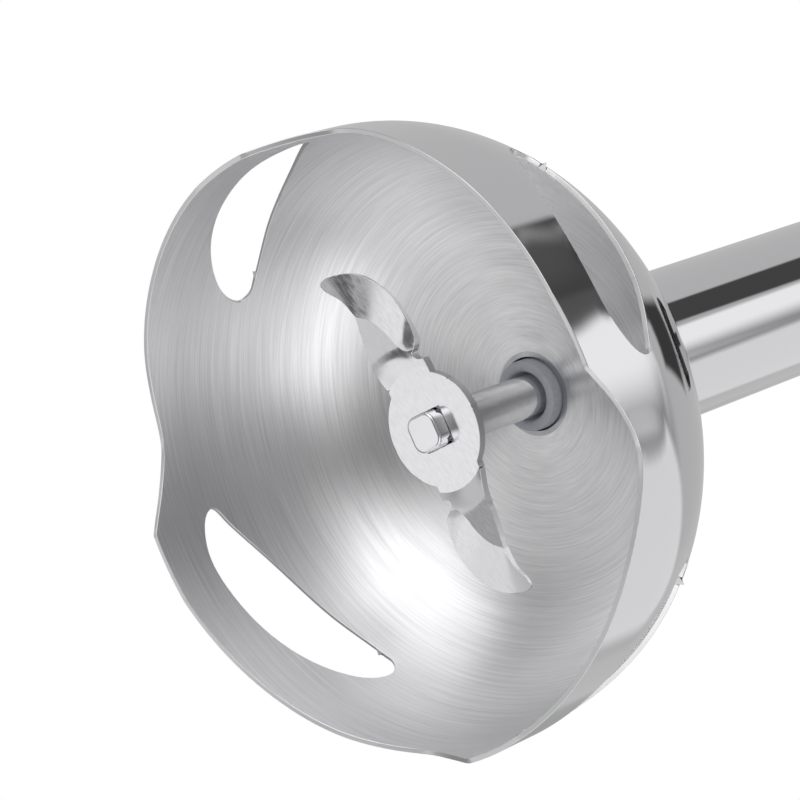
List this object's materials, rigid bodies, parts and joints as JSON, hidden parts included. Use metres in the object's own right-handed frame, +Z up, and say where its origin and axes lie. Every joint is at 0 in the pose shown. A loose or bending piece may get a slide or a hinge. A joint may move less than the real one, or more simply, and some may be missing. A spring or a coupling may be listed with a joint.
{
  "type": "immersion blender",
  "caption": "Hand-held electric stick blender with a scalloped, windowed steel bell guard, two-wing sickle blade, detachable foot, lock ring, push buttons and a speed dial.",
  "frame": {"origin": "centre of the plane through the four feet of the bell's rim, on the tool axis", "axes": "+Z up the tool axis from the bell to the top of the handle; -Y is the side with the push buttons; +X is through the middle of one bell window"},
  "size_m": [0.072, 0.072, 0.3915],
  "materials": {
    "bell_steel": "deep-drawn stainless sheet, mirror outside, circular brushing inside",
    "polished_tube": "polished stainless tube",
    "blade_steel": "ground and polished blade stainless",
    "shaft_steel": "centreless-ground stainless",
    "turned_steel": "turned and plated steel",
    "seal_rubber": "moulded grey nitrile rubber",
    "bush_bronze": "sintered bronze",
    "bearing_nylon": "moulded natural nylon",
    "driver_rubber": "moulded hard rubber",
    "collar_plastic": "moulded black ABS, satin",
    "band_steel": "brushed stainless band",
    "casing_plastic": "moulded ABS, fine-grained, light grey",
    "grip_rubber": "overmoulded thermoplastic rubber",
    "button_plastic": "moulded rubber-faced button",
    "dial_plastic": "moulded ABS with knurled rim",
    "bracket_alloy": "die-cast aluminium alloy",
    "lamination_steel": "stacked silicon-steel laminations",
    "coil_enamel": "enamelled copper wire",
    "commutator_copper": "turned copper segments",
    "brush_carbon": "pressed carbon",
    "spring_wire": "drawn spring wire",
    "board_laminate": "glass-epoxy laminate",
    "component_plastic": "moulded thermoplastic",
    "choke_ferrite": "pressed ferrite",
    "lead_insulation": "extruded PVC insulation"
  },
  "bodies": {
    "motor_unit": {"drive_socket": "collar_plastic", "trim_ring": "band_steel", "handle_front": "casing_plastic", "handle_rear": "casing_plastic", "rear_grip": "grip_rubber", "shell_screws": "turned_steel", "top_cap": "casing_plastic", "cord_gland": "seal_rubber", "stator_core": "lamination_steel", "field_coils": "coil_enamel", "lower_bracket": "bracket_alloy", "upper_bracket": "bracket_alloy", "lower_bearing": "turned_steel", "upper_bearing": "turned_steel", "lower_damping_ring": "seal_rubber", "upper_damping_ring": "seal_rubber", "brush_holders": "bearing_nylon", "carbon_brushes": "brush_carbon", "brush_springs": "spring_wire", "circuit_board": "board_laminate", "microswitches": "component_plastic", "capacitor": "component_plastic", "choke": "choke_ferrite", "potentiometer": "component_plastic", "supply_leads": "lead_insulation", "motor_leads": "lead_insulation", "power_spring": "spring_wire", "turbo_spring": "spring_wire"},
    "foot": {"bell": "bell_steel", "shaft_tube": "polished_tube", "lower_bearing_housing": "turned_steel", "lip_seal": "seal_rubber", "seal_washer": "turned_steel", "lower_bush": "bush_bronze", "upper_bearing_holder": "bearing_nylon", "upper_bush": "bush_bronze", "holder_snap_ring": "turned_steel", "tube_collar": "collar_plastic", "collar_pins": "shaft_steel", "collar_o_ring": "seal_rubber"},
    "drive": {"drive_shaft": "shaft_steel", "blade": "blade_steel", "shaft_circlip": "turned_steel", "driven_coupling": "bearing_nylon"},
    "rotor": {"motor_shaft": "shaft_steel", "rotor_core": "lamination_steel", "rotor_windings": "coil_enamel", "commutator": "commutator_copper", "fan": "bearing_nylon", "driver_coupling": "driver_rubber"},
    "lock_ring": {"lock_ring": "collar_plastic", "ring_snap_wire": "turned_steel"},
    "power_button": {"power_button": "button_plastic"},
    "turbo_button": {"turbo_button": "button_plastic"},
    "speed_dial": {"speed_dial": "dial_plastic", "dial_spindle": "shaft_steel"}
  },
  "joints": [
    {"name": "foot_release", "type": "slide", "parent": "foot", "child": "motor_unit", "axis": [0, 0, 1], "range_m": [0, 0.01]},
    {"name": "ring_turn", "type": "hinge", "parent": "motor_unit", "child": "lock_ring", "pos_m": [0, 0, 0.2035], "axis": [0, 0, 1], "range_deg": [0, 90]},
    {"name": "blade_spin", "type": "hinge", "parent": "foot", "child": "drive", "pos_m": [0, 0, 0.015], "axis": [0, 0, 1], "continuous": true},
    {"name": "rotor_spin", "type": "hinge", "parent": "motor_unit", "child": "rotor", "pos_m": [0, 0, 0.28], "axis": [0, 0, 1], "continuous": true},
    {"name": "power_press", "type": "slide", "parent": "motor_unit", "child": "power_button", "axis": [0, 1, 0], "range_m": [0, 0.0015], "stiffness_N_per_m": 800, "springref_m": -0.002, "deforming": ["power_spring"]},
    {"name": "turbo_press", "type": "slide", "parent": "motor_unit", "child": "turbo_button", "axis": [0, 1, 0], "range_m": [0, 0.0015], "stiffness_N_per_m": 800, "springref_m": -0.002, "deforming": ["turbo_spring"]},
    {"name": "speed_turn", "type": "hinge", "parent": "motor_unit", "child": "speed_dial", "pos_m": [0, -0.0075, 0.386], "axis": [0, 0, 1], "range_deg": [-135, 135]}
  ],
  "couplings": [
    {"joint": "ring_turn", "follows": "foot_release", "rad_per_m": 157.08},
    {"joint": "blade_spin", "follows": "rotor_spin", "ratio": 1}
  ]
}
